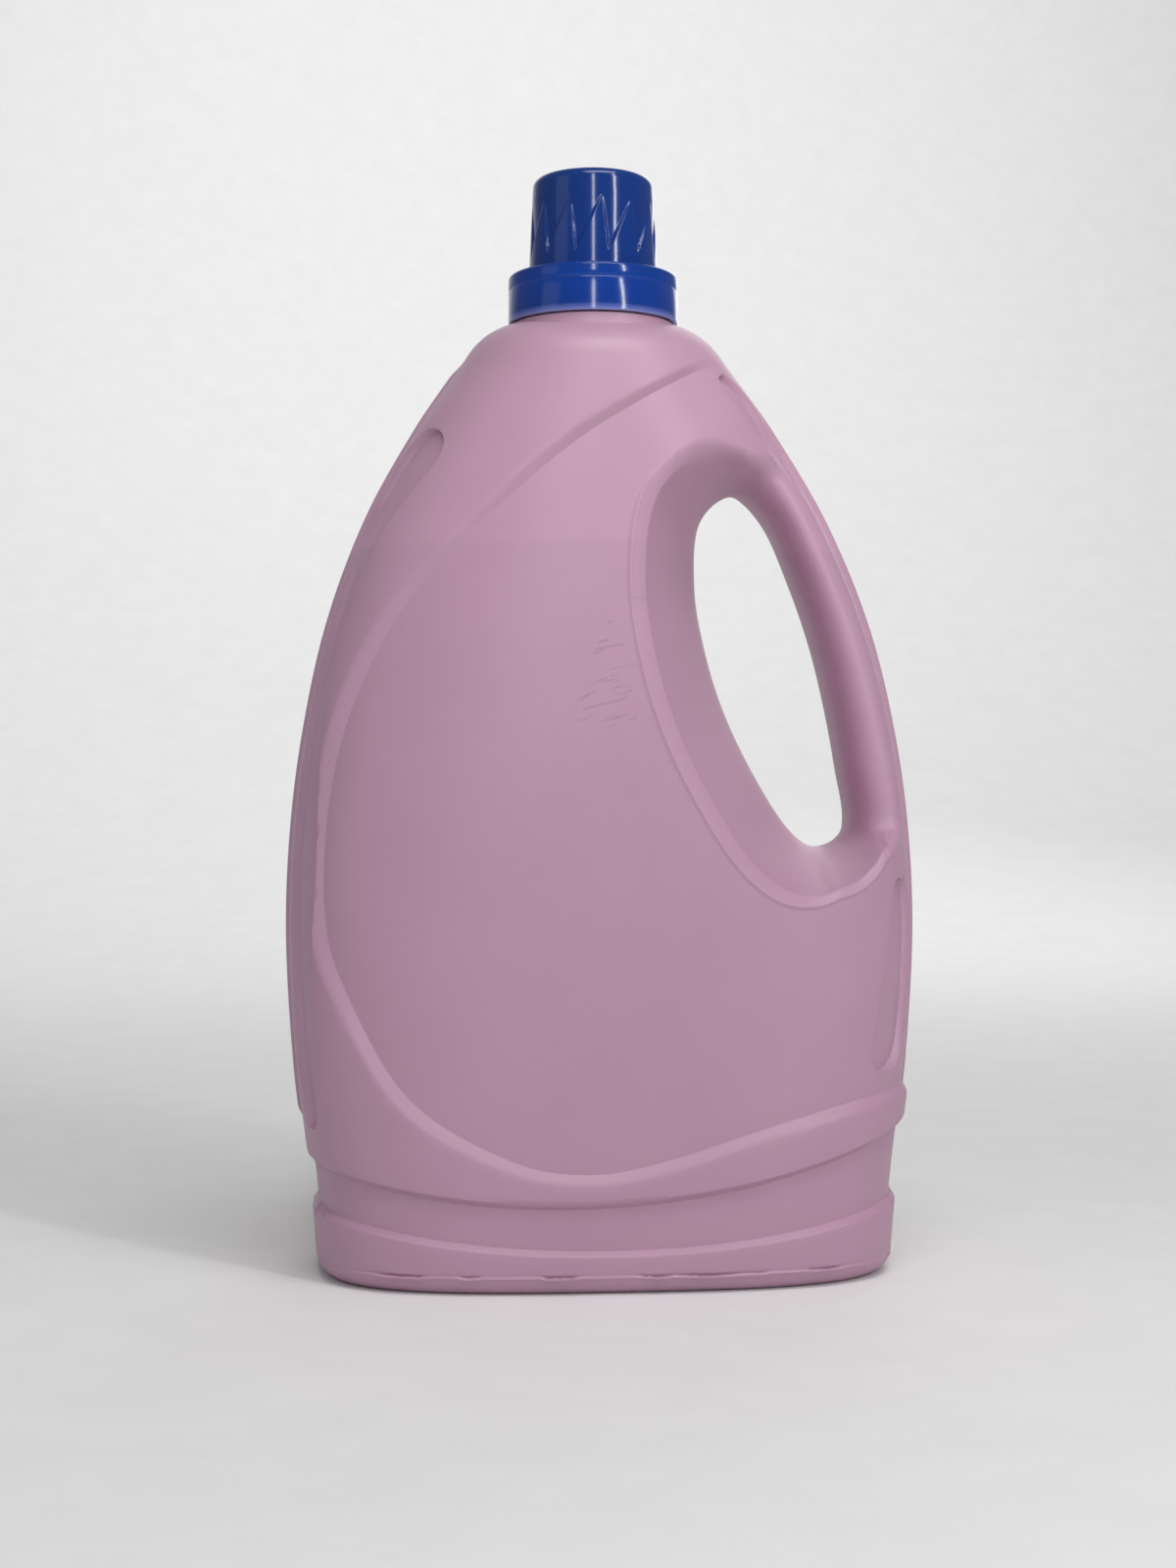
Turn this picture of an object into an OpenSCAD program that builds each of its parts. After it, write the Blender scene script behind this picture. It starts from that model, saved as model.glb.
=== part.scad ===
/* [Body] */
// Width over the mould seam
body_w = 186.2; // [150:0.1:230]
// Depth from front to back
body_d = 98; // [80:0.5:130]
// Height of the blown body, from the table to the foot of the neck
body_h = 276; // [220:1:340]
// Thickness of the blown wall
wall = 1.2; // [0.8:0.1:2]
// Radius of the rounded edge round the base
base_r = 6; // [3:0.5:10]
// How far the middle of the base is pushed up
push_up = 3; // [1:0.5:6]
// Width of the flat ring that the body stands on
stand_w = 7; // [4:0.5:12]
// How far the neck stands off the middle of the body
neck_shift = -2.9; // [-6:0.1:6]

/* [Surface] */
// Depth of the sunk panels, of the sunk band above the base and of the side hollows
sunk_depth = 1.7; // [0.6:0.1:3]
// Lowest height of the sunk band's upper edge
band_top = 23.8; // [18:0.1:34]
// Lowest height of the sunk band's lower edge
band_low = 12.2; // [8:0.1:16]
// How far the sunk band's upper edge climbs at the sides
band_top_rise = 16; // [0:0.5:24]
// How far the sunk band's lower edge climbs at the sides
band_low_rise = 11.5; // [0:0.5:18]
// Height of the rib left by the mould seam
seam_h = 1.2; // [0.4:0.1:2.5]
// Width of the rib left by the mould seam
seam_w = 3; // [1:0.1:6]

/* [Handle] */
// Height of the lowest point of the finger opening
opening_low = 123; // [100:1:140]
// Height of the highest point of the finger opening
opening_top = 226.8; // [190:1:240]
// Widest place of the finger opening
opening_w = 32.5; // [24:0.5:38]
// Width of the grip beside the opening
grip_w = 19.3; // [14:0.1:24]
// Depth of the grip from front to back
grip_d = 36; // [28:0.5:46]
// How far the opening's wall leans out for each millimetre of depth, on the body's side
side_draft = 0.5; // [0.25:0.01:0.6]
// How far it leans out at the opening's upper and lower end
end_draft = 0.32; // [0.15:0.01:0.45]

/* [Neck] */
// Outer radius of the neck below its thread
neck_r = 21.6; // [18:0.1:26]
// Thickness of the neck's wall
neck_wall = 1.8; // [1.2:0.1:3]
// Height of the neck above the body
neck_h = 12; // [9:0.5:18]
// Width of the shoulder round the foot of the neck
shoulder_w = 4.2; // [3:0.1:8]
// How far the shoulder dips in front of the neck and behind it
shoulder_dip = 3; // [0:0.5:5]
// Height of the bead at the foot of the neck
bead_h = 0.8; // [0.4:0.1:1.5]
// How far the bead stands out from the neck
bead_w = 2.4; // [1:0.1:3]

/* [Pour spout] */
// Thickness of the spout's walls
spout_wall = 1.2; // [0.8:0.1:2]
// Radius of the pouring tube
tube_r = 12.6; // [9:0.1:14]
// Height of the pouring lip above the neck's rim
lip_h = 17; // [12:0.5:22]
// Depth of the spout's collar inside the neck
collar_h = 9; // [6:0.5:14]
// Slope of the pouring lip, in degrees
lip_slope = 28; // [10:1:40]
// Width of the drain slot behind the pouring tube
slot_w = 7; // [4:0.5:10]
// Gap between the collar and the neck
collar_gap = 0.1; // [0.05:0.01:0.3]

/* [Cap] */
// Thickness of the cap's wall
cap_wall = 1.6; // [1.2:0.1:2.4]
// Gap between the skirt and the neck, where the thread runs
thread_gap = 1.8; // [1.2:0.1:3]
// Gap left under the skirt and over the spout's flange
seat_gap = 0.3; // [0.2:0.05:0.6]
// Outer radius of the dosing cup at its foot
cup_r = 19; // [17:0.1:22]
// How much the dosing cup narrows from its foot to its closed end
cup_taper = 1.2; // [0.6:0.1:2.4]
// Height of the dosing cup above the skirt
cup_h = 29; // [22:0.5:40]
// Radius of the closed end's edge
cup_edge_r = 3; // [1:0.1:5]
// Number of grip notches round the cup
notches = 12; // [6:1:18]
// Height of a notch's tip above the skirt
notch_low = 4; // [2:0.5:8]
// Depth of a notch at its tip
notch_depth = 0.8; // [0.3:0.1:1.2]

/* [Hidden] */
$fn = 96;
// Narrow steps: at the spout's flange, and where the neck overlaps the body
ledge = 0.3;
// How far a cut runs past the face that it opens
over = 1;
// Radius of the finger opening's edge on the body's side
edge_r = 1.5;
// Lowest and highest place of the seam rib, as shares of the body's height
seam_span = [0.165, 0.955];
// Share of its size that the hollow under the base keeps at its top
push_up_taper = 0.94;
// Lowest places of the sunk band's edges, as shares of the half width
band_top_middle = -0.16;
band_low_middle = -0.03;
// Directions between which the opening's wall turns from body to grip and back, in degrees
grip_turn = [-45, 0, 45, 88];
// How far a notch's edges spread left and right at the top, as shares of the notch spacing
notch_left = 0.22;
notch_right = 0.66;
// Share of the notch spacing by which the notches are turned from the front
notch_turn = 0.25;
half_w = body_w / 2 - seam_h;
half_d = body_d / 2;
shoulder_r = neck_r + shoulder_w;
bore_r = neck_r - neck_wall;
rim_z = body_h + neck_h;
flange_r = neck_r - ledge;
flange_top = rim_z + spout_wall;
skirt_in_r = neck_r + thread_gap;
skirt_r = skirt_in_r + cap_wall;
skirt_low = body_h + bead_h + seat_gap;
deck_low = flange_top + seat_gap;
deck_top = deck_low + cap_wall;
cap_top = deck_top + cup_h;
cup_top_r = cup_r - cup_taper;
far = body_w;
// Rows up the body and columns round it, outside and inside
outer_rows = 18;
outer_columns = 44;
inner_rows = 7;
inner_columns = 24;
// Rows of the rounded edge at the base
base_rows = 4;
// How many wall thicknesses the recesses are wider inside than outside
step_room = 3;
// How fast the opening's wall runs out past the grip's face
grip_spread = 6;
// Depths at which the opening's wall is drawn, as shares of the grip's half depth
GRIP_LEVELS = [0, 0.35, 0.65, 0.87, 0.98];
// Rows over the shoulder, as shares of the body's height
DOME_ROWS = [0.953, 0.965, 0.976, 0.984, 0.99, 0.9955, 1];

// Rows of the body's form from base to neck: share of the height, then the shares of the widest
// half width and half depth beyond the shoulder, the squareness of the section, and the share
// of the neck's shift.
FORM = [
    [0, 0.874, 0.93, 3, 0],
    [0.109, 0.914, 0.98, 3, 0],
    [0.217, 0.968, 1, 3, 0],
    [0.355, 1, 1, 2.9, 0],
    [0.471, 0.979, 0.987, 2.7, 0.03],
    [0.58, 0.915, 0.944, 2.5, 0.11],
    [0.688, 0.806, 0.853, 2.35, 0.27],
    [0.797, 0.625, 0.716, 2.2, 0.52],
    [0.891, 0.399, 0.565, 2.1, 0.74],
    [0.953, 0.218, 0.414, 2, 0.88],
    [0.976, 0.151, 0.31, 2, 0.95],
    [0.989, 0.092, 0.2, 2, 1],
    [0.997, 0.032, 0.07, 2, 1],
    [1, 0, 0, 2, 1]
];

// Edge of the sunk panel, from the shoulder round the left and along the bottom to the right:
// shares of the half width and of the height.
PANEL = [
    [0.62, 0.995], [0.34, 0.951], [-0.086, 0.87], [-0.384, 0.788], [-0.622, 0.709],
    [-0.765, 0.632], [-0.855, 0.553], [-0.9, 0.463], [-0.9, 0.373], [-0.839, 0.305],
    [-0.641, 0.196], [-0.327, 0.135], [-0.079, 0.121], [0.155, 0.134], [0.408, 0.159],
    [0.671, 0.182], [0.86, 0.194], [1.2, 0.21]
];

// Long hollows beside the seam: shares of the section's half width and of the height.
LEFT_LEAF = [
    [-0.93, 0.858], [-0.86, 0.872], [-0.8, 0.862], [-0.785, 0.838], [-0.845, 0.754],
    [-0.874, 0.673], [-0.894, 0.573], [-0.907, 0.42], [-0.927, 0.262], [-0.932, 0.18],
    [-0.945, 0.163], [-0.962, 0.175], [-0.972, 0.26], [-0.977, 0.42], [-0.977, 0.6], [-0.972, 0.75]
];
RIGHT_TOP_LEAF = [
    [0.8, 0.938], [0.775, 0.932], [0.79, 0.924], [0.867, 0.883], [0.93, 0.838],
    [0.955, 0.822], [0.968, 0.835], [0.955, 0.875], [0.92, 0.915], [0.86, 0.936]
];
RIGHT_LOW_LEAF = [
    [0.935, 0.412], [0.912, 0.4], [0.9, 0.375], [0.88, 0.335], [0.858, 0.28], [0.841, 0.239],
    [0.858, 0.221], [0.9, 0.218], [0.945, 0.233], [0.963, 0.28], [0.968, 0.36], [0.96, 0.402]
];

// Left edge of the finger opening: shares of its height and of its widest width.
OPENING = [[0.06, 0.55], [0.23, 0.82], [0.4, 0.97], [0.57, 1], [0.74, 0.9], [0.92, 0.6]];

function mix(a, b, t) = a + (b - a) * t;
function ease(lo, hi, v) =
    let (t = min(max((v - lo) / (hi - lo), 0), 1)) t * t * (3 - 2 * t);
function power(v, e) = sign(v) * pow(abs(v), e);

// A point on a smooth curve between b and c, led by their neighbours a and d.
function spline(a, b, c, d, t) =
    (2 * b + (c - a) * t + (2 * a - 5 * b + 4 * c - d) * t * t
    + (3 * b - a - 3 * c + d) * t * t * t) / 2;
function open_curve(p, steps) = [
    for (i = [0 : len(p) - 2], k = [0 : steps - 1])
        spline(p[max(i - 1, 0)], p[i], p[i + 1], p[min(i + 2, len(p) - 1)], k / steps),
    p[len(p) - 1]
];
function closed_curve(p, steps) = let (n = len(p)) [
    for (i = [0 : n - 1], k = [0 : steps - 1])
        spline(p[(i + n - 1) % n], p[i], p[(i + 1) % n], p[(i + 2) % n], k / steps)
];

// The form's row at a share of the height, on a smooth curve through the rows.
function form_slope(i) =
    let (a = FORM[max(i - 1, 0)], b = FORM[min(i + 1, len(FORM) - 1)]) (b - a) / (b[0] - a[0]);
function form_row(s) =
    let (
        i = max([for (k = [0 : len(FORM) - 2]) if (FORM[k][0] <= s) k]),
        a = FORM[i], b = FORM[i + 1],
        w = b[0] - a[0],
        t = (s - a[0]) / w,
        u = 1 - t
    )
    a * (1 + 2 * t) * u * u + form_slope(i) * w * t * u * u
    + b * t * t * (3 - 2 * t) - form_slope(i + 1) * w * t * t * u;
function middle(z) = neck_shift * form_row(z / body_h)[4];
function half_width(z) = mix(shoulder_r, half_w, form_row(z / body_h)[1]);
function on_body(p) = [for (q = p) [middle(q[1] * body_h) + q[0] * half_width(q[1] * body_h),
    q[1] * body_h]];
function on_panel(p) = [for (q = p) [q[0] * half_w, q[1] * body_h]];

// Heights of the rows that the body is lofted through, as shares.
function row_shares(rows) = concat(
    [for (k = [0 : base_rows - 1]) base_r * (1 - cos(k * 90 / base_rows)) / body_h],
    [for (k = [0 : rows - 1]) mix(base_r / body_h, DOME_ROWS[0], k / rows)],
    DOME_ROWS
);
function base_round(z) = z >= base_r ? 0 : base_r - sqrt(pow(base_r, 2) - pow(base_r - z, 2));
function section(s, inset, columns) =
    let (row = form_row(s),
        a = mix(shoulder_r, half_w, row[1]) - inset - base_round(s * body_h),
        b = mix(shoulder_r, half_d, row[2]) - inset - base_round(s * body_h))
    [for (k = [0 : columns - 1]) let (t = 360 * k / columns)
        [neck_shift * row[4] + a * power(cos(t), 2 / row[3]), b * power(sin(t), 2 / row[3]),
        mix(inset, body_h - inset, s) - shoulder_dip * pow(sin(t), 2) * ease(DOME_ROWS[0], 1, s)]];

// Closed solid through rings with the same number of points each.
module loft(rings) {
    n = len(rings[0]);
    last = len(rings) - 1;
    polyhedron(
        points = [for (r = rings) each r],
        faces = concat(
            [[for (k = [0 : n - 1]) k]],
            [for (j = [0 : last - 1], k = [0 : n - 1])
                let (a = j * n + k, b = j * n + (k + 1) % n) each [[a, a + n, b], [b, a + n, b + n]]],
            [[for (k = [n - 1 : -1 : 0]) last * n + k]]
        ),
        convexity = 10
    );
}

// The smooth body before its surface is shaped, drawn in by inset.
module skin(inset, rows, columns) {
    loft([for (s = row_shares(rows)) section(s, inset, columns)]);
}

// Extends a front-view outline through the body.
module through(points, grow = 0) {
    rotate([90, 0, 0]) linear_extrude(far, center = true) offset(delta = grow) polygon(points);
}

module panel(grow) {
    low = PANEL[len(PANEL) - 1][1] * body_h;
    through(concat(on_panel(open_curve(PANEL, 2)), [[far, low], [far, body_h]]), grow);
}

// Height of a band edge that is lowest at one place and climbs to both sides.
function band_edge(share, low, lowest_at, rise) =
    [share * half_w, low + rise * pow(share - lowest_at, 2)];
module band(grow) {
    through(concat(
        [for (share = [-1.2 : 0.2 : 1.21]) band_edge(share, band_low, band_low_middle, band_low_rise)],
        [for (share = [1.2 : -0.2 : -1.21]) band_edge(share, band_top, band_top_middle, band_top_rise)]
    ), grow);
}

module leaf(outline, grow) {
    through(closed_curve(on_body(outline), 2), grow);
}

// Edge of the finger opening in the seam's plane, down its left side and up its right.
function opening_z(s) = mix(opening_low, opening_top, s);
function grip_edge(z) = middle(z) + half_width(z) + seam_h - grip_w;
function opening_edge() =
    let (
        last = len(OPENING) - 1,
        left = [for (i = [last : -1 : 0]) let (q = OPENING[i], z = opening_z(q[0]))
            [grip_edge(z) - opening_w * q[1], z]],
        right = [for (q = OPENING) [grip_edge(opening_z(q[0])), opening_z(q[0])]]
    )
    closed_curve(concat(left, [[(left[last][0] + right[0][0]) / 2, opening_low]], right,
        [[(left[0][0] + right[last][0]) / 2, opening_top]]), 3);

// How far the opening's wall lies from its edge at a depth: leaning on the body's side, and
// rounded over the grip on the other.
function body_side(y, angle) =
    norm([mix(end_draft, side_draft, max(-cos(angle), 0)) * y, edge_r]) - edge_r;
function grip_side(y, h) =
    y < h ? grip_w / 2 * (1 - sqrt(1 - pow(y / h, 2)))
    : min(grip_w / 2 + grip_spread * (y - h), 2 * grip_w);
function grip_share(angle) =
    ease(grip_turn[0], grip_turn[1], angle) - ease(grip_turn[2], grip_turn[3], angle);
module finger_opening(inset) {
    edge = opening_edge();
    n = len(edge);
    h = grip_d / 2;
    run_out = [for (s = [0.5, 1.5]) h - inset + s * grip_w / grip_spread];
    depths = concat([for (s = GRIP_LEVELS) s * (h - inset)], run_out, [half_d + over]);
    levels = concat([for (i = [len(depths) - 1 : -1 : 1]) depths[i]], -depths);
    loft([for (y = levels) [for (k = [0 : n - 1])
        let (
            along = edge[(k + 1) % n] - edge[(k + n - 1) % n],
            out = [-along[1], along[0]] / -norm(along),
            angle = atan2(out[1], out[0]),
            reach = mix(body_side(abs(y), angle), grip_side(abs(y), h - inset), grip_share(angle)) + inset,
            p = edge[k] + out * reach
        )
        [p[0], y, p[1]]]]);
}

// Hollow under the base, inside the ring that the body stands on.
module base_hollow(inset) {
    ring = section(base_r / body_h, base_r + stand_w - inset, outer_columns);
    translate([0, 0, -over]) linear_extrude(push_up + inset + over, scale = push_up_taper)
        polygon([for (p = ring) [p[0], p[1]]]);
}

// The body's shape drawn in by inset: 0 gives the outside, the wall's thickness the inside.
module blown_form(inset, rows, columns) {
    difference() {
        union() {
            skin(inset + 2 * sunk_depth, rows, columns);
            difference() {
                skin(inset + sunk_depth, rows, columns);
                leaf(RIGHT_TOP_LEAF, inset * step_room);
                leaf(RIGHT_LOW_LEAF, inset * step_room);
            }
            difference() {
                skin(inset, rows, columns);
                panel(inset * step_room);
                band(inset * step_room);
                leaf(LEFT_LEAF, inset * step_room);
            }
        }
        finger_opening(inset);
        base_hollow(inset);
    }
}

// Rib along the mould seam, down both sides and over the grip.
module seam_rib() {
    intersection() {
        skin(-seam_h, outer_rows, outer_columns);
        difference() {
            translate([-far, -seam_w / 2, seam_span[0] * body_h])
                cube([2 * far, seam_w, (seam_span[1] - seam_span[0]) * body_h]);
            finger_opening(0);
        }
    }
}

module neck() {
    foot = body_h - shoulder_dip - wall / 2;
    translate([neck_shift, 0, 0]) rotate_extrude() polygon([
        [bore_r, foot], [neck_r + bead_w, foot],
        [neck_r + bead_w, body_h + bead_h], [neck_r, body_h + bead_h],
        [neck_r, rim_z], [bore_r, rim_z]
    ]);
}

module bottle() {
    color("pink") {
        resize([body_w, 0, 0]) difference() {
            union() {
                blown_form(0, outer_rows, outer_columns);
                seam_rib();
            }
            blown_form(wall, inner_rows, inner_columns);
            translate([neck_shift, 0, body_h - shoulder_dip - 2 * wall])
                cylinder(r = bore_r - ledge, h = shoulder_dip + 4 * wall);
        }
        neck();
    }
}

// Drain-back fitment: a collar and flange in the neck's mouth, a floor, and a slanted pouring tube.
module pour_spout() {
    floor_z = rim_z - collar_h;
    floor_r = tube_r - spout_wall / 2;
    collar_r = bore_r - collar_gap;
    color("white") translate([neck_shift, 0, 0]) difference() {
        union() {
            rotate_extrude() polygon([
                [floor_r, floor_z], [collar_r, floor_z], [collar_r, rim_z], [flange_r, rim_z],
                [flange_r, flange_top], [collar_r - spout_wall, flange_top],
                [collar_r - spout_wall, floor_z + spout_wall], [floor_r, floor_z + spout_wall]
            ]);
            difference() {
                translate([0, 0, floor_z]) cylinder(r = tube_r, h = collar_h + lip_h);
                translate([-tube_r, 0, rim_z + lip_h]) rotate([0, lip_slope, 0])
                    translate([0, -far / 2, 0]) cube(far);
            }
        }
        translate([0, 0, floor_z - over])
            cylinder(r = tube_r - spout_wall, h = collar_h + lip_h + 2 * over);
        translate([0, -slot_w / 2, floor_z - over])
            cube([(tube_r + collar_r - spout_wall) / 2, slot_w, collar_h + lip_h + 2 * over]);
    }
}

// One grip notch: an upright facet that is deepest at its tip and runs out at the top.
module notch() {
    tip = deck_top + notch_low;
    top = cap_top - cup_edge_r;
    width = 2 * PI * cup_r / notches;
    rotate([90, 0, 90]) linear_extrude(2 * cup_r)
        polygon([[0, tip], [width * notch_right, top], [-width * notch_left, top]]);
}

module dosing_cap() {
    cup_low = deck_top + notch_low;
    facet_r = cup_r - cup_taper * notch_low / cup_h - notch_depth;
    inner_r = cup_r - cap_wall - notch_depth / 2;
    color("mediumblue") translate([neck_shift, 0, 0]) difference() {
        rotate_extrude() {
            polygon([
                [0, skirt_low], [skirt_r, skirt_low], [skirt_r, deck_top - cap_wall],
                [skirt_r - cap_wall, deck_top], [cup_r, deck_top],
                [cup_top_r, cap_top - cup_edge_r], [0, cap_top - cup_edge_r]
            ]);
            translate([skirt_r - cap_wall, deck_top - cap_wall]) circle(cap_wall);
            translate([0, deck_low]) square([cup_top_r - cup_edge_r, cap_top - deck_low]);
            translate([cup_top_r - cup_edge_r, cap_top - cup_edge_r]) circle(cup_edge_r);
        }
        difference() {
            for (k = [0 : notches - 1]) rotate(360 / notches * (k + notch_turn) - 90) notch();
            translate([0, 0, cup_low - over]) cylinder(r = facet_r, h = cup_h);
        }
        translate([0, 0, skirt_low - over])
            cylinder(r = skirt_in_r, h = deck_low - skirt_low + over);
        translate([0, 0, deck_low - over])
            cylinder(r1 = inner_r, r2 = inner_r - cup_taper, h = cap_top - cap_wall - deck_low + over);
    }
}

bottle();
pour_spout();
dosing_cap();
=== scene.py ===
import math
import bpy
import numpy as np
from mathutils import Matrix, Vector, geometry, noise


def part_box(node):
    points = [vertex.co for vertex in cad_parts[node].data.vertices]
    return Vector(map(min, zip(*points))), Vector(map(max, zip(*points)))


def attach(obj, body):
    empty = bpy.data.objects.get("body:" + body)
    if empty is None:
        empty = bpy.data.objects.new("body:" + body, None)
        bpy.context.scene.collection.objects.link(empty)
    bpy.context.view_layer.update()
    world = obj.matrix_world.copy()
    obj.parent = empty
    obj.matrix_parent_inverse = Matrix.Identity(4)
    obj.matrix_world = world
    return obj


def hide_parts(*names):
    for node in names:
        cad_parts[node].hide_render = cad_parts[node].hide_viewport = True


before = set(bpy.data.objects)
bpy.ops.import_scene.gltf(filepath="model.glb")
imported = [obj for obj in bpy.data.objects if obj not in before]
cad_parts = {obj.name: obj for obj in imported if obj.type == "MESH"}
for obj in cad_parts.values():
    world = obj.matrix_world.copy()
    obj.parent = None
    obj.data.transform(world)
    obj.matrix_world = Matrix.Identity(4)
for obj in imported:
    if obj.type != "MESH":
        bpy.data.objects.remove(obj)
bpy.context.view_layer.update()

# Sizes of the jug in millimetres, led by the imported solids.
MM = 0.001
bottle_low, bottle_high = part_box("bottle")
cap_low, cap_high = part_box("dosing_cap")
body_w = (bottle_high[0] - bottle_low[0]) / MM
rim_z = bottle_high[2] / MM
neck_x = (cap_low[0] + cap_high[0]) / 2 / MM
skirt_low = cap_low[2] / MM
cap_top = cap_high[2] / MM
skirt_r = (cap_high[0] - cap_low[0]) / 2 / MM
neck_h = 12
body_h = rim_z - neck_h
body_d = 98
wall = 1.2
base_r = 6
push_up = 3
stand_w = 7
seam_h = 1.2
seam_half = 1.5
half_w = body_w / 2 - seam_h
half_d = body_d / 2
neck_r = 21.6
bore_r = 19.8
bead_r = 24.0
bead_h = 0.8
shoulder_r = 25.8
sunk_depth = 2
shoulder_dip = 3
dip_from = 0.953

# Rows of the body's form from base to neck: share of the height, shares of the half width and the
# half depth beyond the shoulder, squareness of the section, and share of the neck's shift.
FORM = np.array([
    [0, 0.874, 0.93, 3, 0],
    [0.109, 0.914, 0.98, 3, 0],
    [0.217, 0.968, 1, 3, 0],
    [0.355, 1, 1, 2.9, 0],
    [0.471, 0.979, 0.987, 2.7, 0.03],
    [0.58, 0.915, 0.944, 2.5, 0.11],
    [0.688, 0.806, 0.853, 2.35, 0.27],
    [0.797, 0.625, 0.716, 2.2, 0.52],
    [0.891, 0.399, 0.565, 2.1, 0.74],
    [0.953, 0.218, 0.414, 2, 0.88],
    [0.976, 0.151, 0.31, 2, 0.95],
    [0.989, 0.092, 0.2, 2, 1],
    [0.997, 0.032, 0.07, 2, 1],
    [1, 0, 0, 2, 1],
])

# Edge of the sunk panel: shares of the half width and of the height.
PANEL = [
    (0.62, 0.995), (0.34, 0.951), (-0.086, 0.87), (-0.384, 0.788), (-0.622, 0.709),
    (-0.765, 0.632), (-0.855, 0.553), (-0.9, 0.463), (-0.9, 0.373), (-0.839, 0.305),
    (-0.641, 0.196), (-0.327, 0.135), (-0.079, 0.121), (0.155, 0.134), (0.408, 0.159),
    (0.671, 0.182), (0.86, 0.194), (1.2, 0.21),
]

# Long hollows beside the seam: shares of the section's half width and of the height.
LEAVES = [
    [(-0.945, 0.871), (-0.912, 0.8785), (-0.872, 0.877), (-0.827, 0.867), (-0.813, 0.854),
     (-0.828, 0.837), (-0.855, 0.823), (-0.882, 0.805), (-0.915, 0.78), (-0.932, 0.741),
     (-0.946, 0.681), (-0.949, 0.618), (-0.942, 0.513), (-0.934, 0.408), (-0.938, 0.303),
     (-0.948, 0.2), (-0.957, 0.166), (-0.972, 0.174), (-0.984, 0.26), (-0.988, 0.42),
     (-0.988, 0.6), (-0.986, 0.75), (-0.978, 0.82), (-0.968, 0.853)],
    [(0.83, 0.938), (0.797, 0.934), (0.8, 0.92), (0.867, 0.883), (0.93, 0.838), (0.955, 0.822),
     (0.968, 0.835), (0.955, 0.875), (0.92, 0.915), (0.86, 0.936)],
    [(0.935, 0.412), (0.912, 0.4), (0.9, 0.375), (0.88, 0.335), (0.858, 0.28), (0.841, 0.239),
     (0.858, 0.221), (0.9, 0.218), (0.945, 0.233), (0.963, 0.28), (0.968, 0.36), (0.96, 0.402)],
]

# Left edge of the finger opening: shares of its height and of its widest width.
OPENING = [(0.06, 0.55), (0.23, 0.82), (0.4, 0.97), (0.57, 1), (0.74, 0.9), (0.92, 0.6)]
opening_low = 123
opening_top = 226.8
opening_w = 32.5
grip_w = 19.3
grip_d = 36
grip_spread = 6
grip_square = 2.4
side_draft = 0.5
end_draft = 0.32
edge_r = 1.5

# Directions, in degrees, between which the opening's wall turns from body to grip and back, and
# between which its lip turns soft and crisp again.
GRIP_TURN = (-45, 0, 45, 88)
SOFT_TURN = (30, 90, 120, 170)

# The sunk band above the base, its upper and lower edge: lowest height, rise at the sides, and
# shift of the lowest place to the left as a share of the half width.
BAND_TOP = (23.8, 16, 0.16)
BAND_LOW = (12.2, 11.5, 0.03)

# Steps of the surface: the width of their sloped walls, and the share that the outer edge rounds.
PANEL_WALL = (3.3, 0.3)
LEAF_WALL = (1.0, 0.6)
BAND_TOP_WALL = (2.4, 0.6)
BAND_LOW_WALL = (2.1, 0.5)

# The panel's step runs out between these shares of the height and of the half width, and the long
# hollows run out between these distances from the opening.
PANEL_FADE_UP = (0.86, 0.93)
PANEL_FADE_ASIDE = (0.5, 0.92)
LEAF_CLEAR = (10, 18)

# Heights of the scoop's wall over the skin between which the hollows give way to the scoop, and the
# distance from the opening within which the skin's shift aside dies out.
SCOOP_BLEND = (-4, 6)
shift_clear = 12

# The seam's ridge: where it starts and ends, as shares of the height.
seam_low = 0.165
seam_top = 0.945
seam_end = 0.965
seam_run_out = 2

# The parting line above the base: its height and half width, the largest flake, how far a flake
# stands out and hangs down, and the groove above the line.
flash_z = 5
flash_h = 0.25
flash_half = 0.4
flake_most = 0.45
flake_h = 0.9
groove_h = 0.1
groove_flake_h = 1.5
groove_up = 0.75
groove_half = 0.3

# Noise that breaks up the flakes: its scale and the row that it is read along.
RAGGED = (0.09, (3.1, 0.7))
TORN = (0.8, (9.4, 2.2))

# The lip of the finger scoop: how soft it is above the opening and, beside the panel, its chamfer's
# slope and drop, the rounding of its edges, and the height and half width of the bead on it.
lip_round = 3.2
lip_soft = 12
lip_grip_share = 0.6
lip_beside_until = 0.9
chamfer_slope = 0.25
chamfer_drop = 1.24
chamfer_round = 0.6
bead_up = 0.5
bead_half = 0.7

# Rows of points that the skin's mesh follows, as distances from the scoop's lip, the opening, the
# seam, the feet of the steps and the parting line; where the lip is looked for, and how far apart
# the points of finer rows stay.
LIP_ROWS = (-2, -1.4, -1.05, -0.8, -0.55, -0.2, 0.4, 1.2, 2, 2.6, 2.95, 3.25, 3.55, 3.9, 4.4, 5)
OPENING_ROWS = (0.08, 0.3, 0.7, 1.3, 2.1, 3, 4, 5.1, 6.3, 7.6, 9, 10.6, 12.4)
SEAM_ROWS = (0.45, 0.9, 1.25, 1.5, 1.8, 2.5)
PANEL_ROWS = (0, -0.25, -0.9, -1.7, -2.4, -2.8, -3.2, -3.7, 0.3, 0.9)
LEAF_ROWS = (0, -0.2, -0.5, -0.9, -1.4, 0.4, 1.1)
BAND_TOP_ROWS = (0, -0.25, -0.7, -1.2, -1.8, -2.4, -2.9, 0.3, 0.9)
BAND_LOW_ROWS = (0, -0.25, -0.7, -1.1, -1.6, -2.1, -2.6, 0.3, 0.9)
FLASH_ROWS = (0, -0.25, 0.25, -0.5, 0.5, -0.75, 0.75, -1.1, 1, 1.4)
LIP_REACH = (4, 34, 0.25)
lip_beside_from = 0.3
fine_apart = 0.2
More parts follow.
